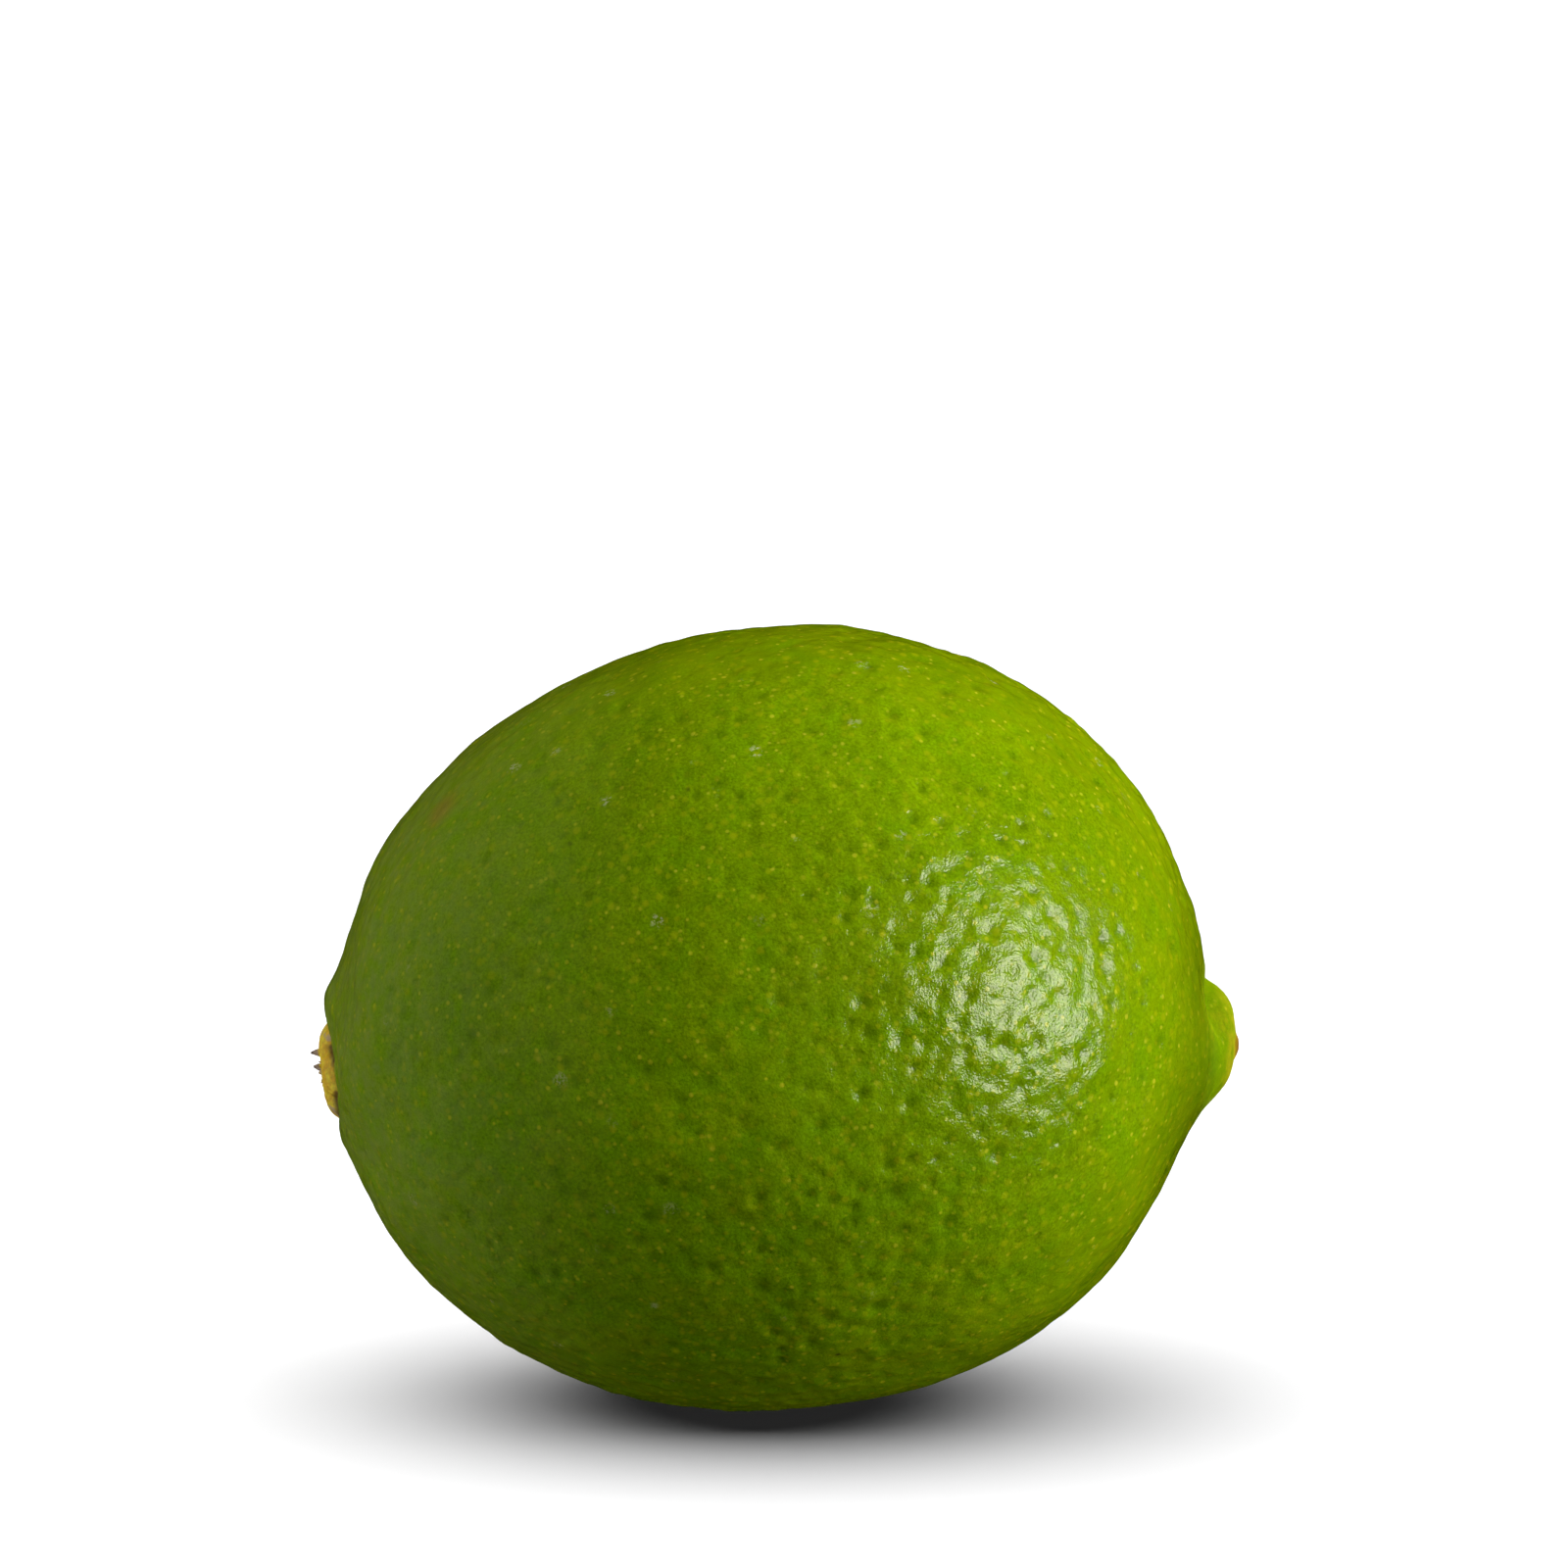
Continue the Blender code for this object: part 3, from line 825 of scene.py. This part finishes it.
def add_fibre(points, faces, index, random):
    """One torn, tapering, crooked fibre that stands in the hollow where the stalk broke off."""
    turn = (index / FIBRES + FIBRE_START_TURN) * 2 * math.pi + random.uniform(-FIBRE_STRAY, FIBRE_STRAY)
    away = HOLLOW_SHARE * BUTTON_RADIUS * random.uniform(*FIBRE_REACH)
    foot = np.array([away * math.cos(turn), away * math.sin(turn), BUTTON_TOP - BUTTON_HOLLOW - FIBRE_ROOT])
    lean = np.array([math.cos(turn), math.sin(turn), 0]) * random.uniform(*FIBRE_LEAN)
    length = random.uniform(*FIBRE_LENGTH) * MM
    thickness = random.uniform(*FIBRE_THICKNESS) * MM
    start = len(points)
    for joint in range(FIBRE_JOINTS):
        along = joint / (FIBRE_JOINTS - 1)
        spine = foot + length * along * (np.array([0, 0, 1]) + lean * along)
        spine[:2] += random.normal(size=2) * FIBRE_CROOK * along
        width = thickness * (1 - FIBRE_TAPER * along**FIBRE_TAPER_POWER)
        for side in range(FIBRE_SIDES):
            angle = side / FIBRE_SIDES * 2 * math.pi
            points.append((spine + width * np.array([math.cos(angle), math.sin(angle), 0])).tolist())
    for joint in range(FIBRE_JOINTS - 1):
        low = start + joint * FIBRE_SIDES
        high = low + FIBRE_SIDES
        for side in range(FIBRE_SIDES):
            after = (side + 1) % FIBRE_SIDES
            faces.append((low + side, low + after, high + after, high + side))
    last = start + (FIBRE_JOINTS - 1) * FIBRE_SIDES
    faces.append(tuple(range(last, last + FIBRE_SIDES)))


def build_button():
    random = np.random.default_rng(SEED)
    points, faces = closed_button(button_top(random))
    for index in range(FIBRES):
        add_fibre(points, faces, index, random)
    mesh = bpy.data.meshes.new("calyx_button")
    mesh.from_pydata(points, [], faces)
    mesh.transform(resting_matrix() @ STEM_END.matrix())
    mesh.shade_smooth()
    mesh.update()
    return add_object("calyx_button", mesh)


OCHRE = (0.740, 0.440, 0.020)
STRAW = (0.820, 0.640, 0.035)
HUSK_COLOUR = (0.480, 0.360, 0.270)
BARK_AND_SHADE = (0.060, 0.028, 0.010)
FIBRE_COLOUR = (0.520, 0.400, 0.300)
FIBRE_TIP_COLOUR = (0.120, 0.075, 0.050)
BUTTON_BUMP = 0.02 * MM


def button_material():
    """Ochre and straw with grey patches, dark brown at the low rim, partly bark and partly painted shade,
    and fibres that darken to their tips.
    """
    shader = Shader("calyx_button")
    out = resting_matrix() @ STEM_END.matrix()
    axis = (out.to_3x3() @ Vector((0, 0, 1))).normalized()
    height = shader.height_along(out.translation, axis)
    patches = shader.ramp(shader.noise(size=0.9, detail=4.0, roughness=0.6), low=0.4, high=0.6)
    colour = shader.mix(patches, OCHRE, STRAW)
    grain = shader.noise(size=0.25, detail=3.0, roughness=0.65)
    grain = shader.ramp(grain, low=0.25, high=0.75, to_low=0.7, to_high=1.25, smooth=False)
    colour = shader.scaled_by(colour, grain)
    husk = shader.ramp(shader.noise(size=1.5), low=0.58, high=0.66, to_high=0.7)
    colour = shader.mix(husk, colour, HUSK_COLOUR)
    # Bark brown and painted shade on the low rim, where the button sinks into the fruit.
    unevenness = shader.ramp(shader.noise(size=1.6), low=0.35, high=0.65, to_low=-0.3, to_high=0.2)
    rim = shader.math("ADD", height, unevenness)
    rim = shader.ramp(rim, low=-0.75, high=-0.35, to_low=0.85, to_high=0.0)
    colour = shader.mix(rim, colour, BARK_AND_SHADE)
    colour = shader.mix(shader.ramp(height, low=0.58, high=0.72), colour, FIBRE_COLOUR)
    colour = shader.mix(shader.ramp(height, low=0.85, high=1.10), colour, FIBRE_TIP_COLOUR)
    shader.finish("Base Color", colour)
    shader.finish("Roughness", 0.6)
    shader.finish("Normal", shader.bump(shader.noise(size=0.3, detail=3.0, roughness=0.6), BUTTON_BUMP))
    return shader.material


# ---------------------------------------------------------------- studio


def aim(thing, place, target):
    thing.location = place
    thing.rotation_euler = (target - place).to_track_quat("-Z", "Y").to_euler()


def watts(radiance, area):
    """The power of a flat lamp of this radiance and area."""
    return radiance * math.pi * area


def receivers(name, things):
    """A collection for lights that shine on these things only."""
    group = bpy.data.collections.new(name)
    for thing in things:
        group.objects.link(thing)
    return group


def disc_light(name, place, radiance, target, group, mirrored=False, colour=WHITE):
    """A round soft light that the fruit sees at this azimuth from +X, elevation and half angle."""
    azimuth, elevation, half_angle = (math.radians(angle) for angle in place)
    radius = LAMP_DISTANCE * math.tan(half_angle)
    light = bpy.data.lights.new(name, "AREA")
    light.shape = "DISK"
    light.size = 2 * radius
    light.energy = watts(radiance, math.pi * radius**2)
    light.color = colour
    thing = add_object(name, light)
    level = math.cos(elevation)
    direction = Vector((level * math.cos(azimuth), level * math.sin(azimuth), math.sin(elevation)))
    aim(thing, target + LAMP_DISTANCE * direction, target)
    thing.light_linking.receiver_collection = group
    thing.visible_glossy = mirrored


def ceiling_light(group):
    """The broad light overhead that throws the soft shadow, wider to the sides than to and fro."""
    half_length = CEILING_HEIGHT * CEILING_LENGTH
    half_width = CEILING_HEIGHT * CEILING_WIDTH
    light = bpy.data.lights.new("ceiling", "AREA")
    light.shape = "ELLIPSE"
    light.size = 2 * half_length
    light.size_y = 2 * half_width
    light.energy = watts(CEILING_RADIANCE, math.pi * half_length * half_width)
    # The floor's bounced rays don't meet the rind, and would carry this light into the shadow.
    light.cycles.use_multiple_importance_sampling = False
    thing = add_object("ceiling", light)
    thing.location.z = CEILING_HEIGHT
    thing.light_linking.receiver_collection = group


def build_lights(target, fruit_group, floor_group):
    """A key light that shows in the wax, with fills that don't, and a ceiling light for the floor alone."""
    disc_light("key", KEY_PLACE, KEY_RADIANCE, target, fruit_group, mirrored=True, colour=KEY_COLOUR)
    disc_light("key_fill", KEY_PLACE, KEY_FILL_RADIANCE, target, fruit_group, colour=KEY_COLOUR)
    for name, *place, radiance in FILLS:
        disc_light(name, place, radiance, target, fruit_group)
    ceiling_light(floor_group)


def build_floor():
    mesh = bpy.data.meshes.new("floor")
    corners = [(-1, -1), (1, -1), (1, 1), (-1, 1)]
    mesh.from_pydata([(FLOOR_REACH * x, FLOOR_REACH * y, 0) for x, y in corners], [], [(0, 1, 2, 3)])
    floor = add_object("floor", mesh)
    shader = Shader("floor")
    shader.finish("Base Color", FLOOR_COLOUR)
    shader.finish("Roughness", 1.0)
    shader.finish("Specular IOR Level", 0.0)
    mesh.materials.append(shader.material)
    floor.visible_diffuse = False
    floor.visible_glossy = False
    floor.visible_shadow = False
    return floor


def build_world():
    """White behind everything for the camera, and only a little light from it for the rest."""
    world = bpy.data.worlds.new("studio")
    world.use_nodes = True
    tree = world.node_tree
    shown = tree.nodes["Background"]
    shown.inputs["Color"].default_value = (*WHITE, 1)
    shown.inputs["Strength"].default_value = 1.0
    ambient = tree.nodes.new("ShaderNodeBackground")
    ambient.inputs["Color"].default_value = (*WHITE, 1)
    ambient.inputs["Strength"].default_value = AMBIENT
    path = tree.nodes.new("ShaderNodeLightPath")
    either = tree.nodes.new("ShaderNodeMixShader")
    tree.links.new(path.outputs["Is Camera Ray"], either.inputs[0])
    tree.links.new(ambient.outputs[0], either.inputs[1])
    tree.links.new(shown.outputs[0], either.inputs[2])
    tree.links.new(either.outputs[0], tree.nodes["World Output"].inputs["Surface"])
    bpy.context.scene.world = world
    world.cycles_visibility.glossy = False


def build_camera():
    length, _, height = CAD_HIGH - CAD_LOW
    back = Vector((0, -math.cos(VIEW_ELEVATION), math.sin(VIEW_ELEVATION)))
    upward = Vector((0, math.sin(VIEW_ELEVATION), math.cos(VIEW_ELEVATION)))
    camera = bpy.data.cameras.new("camera")
    camera.sensor_width = SENSOR
    camera.lens = SENSOR * VIEW_DISTANCE * LENGTH_SHARE / length
    thing = add_object("camera", camera)
    middle = (CAD_LOW + CAD_HIGH) / 2 + Vector((ASIDE_SHARE * length, 0, 0))
    aim(thing, middle + VIEW_DISTANCE * back, middle + RISE_SHARE * height * upward)
    bpy.context.scene.camera = thing


rind = build_rind()
rind.data.materials.append(rind_material())
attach(rind, "root")
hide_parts("lime_fruit")
rind.visible_diffuse = False  # it throws no green on the floor
button = build_button()
button.data.materials.append(button_material())
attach(button, "root")
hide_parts("stem_button")
floor = build_floor()
build_world()
fruit_group = receivers("on_the_fruit", [rind, button])
floor_group = receivers("on_the_floor", [floor])
build_lights((CAD_LOW + CAD_HIGH) / 2, fruit_group, floor_group)
build_camera()
bpy.context.scene.view_settings.view_transform = "Standard"
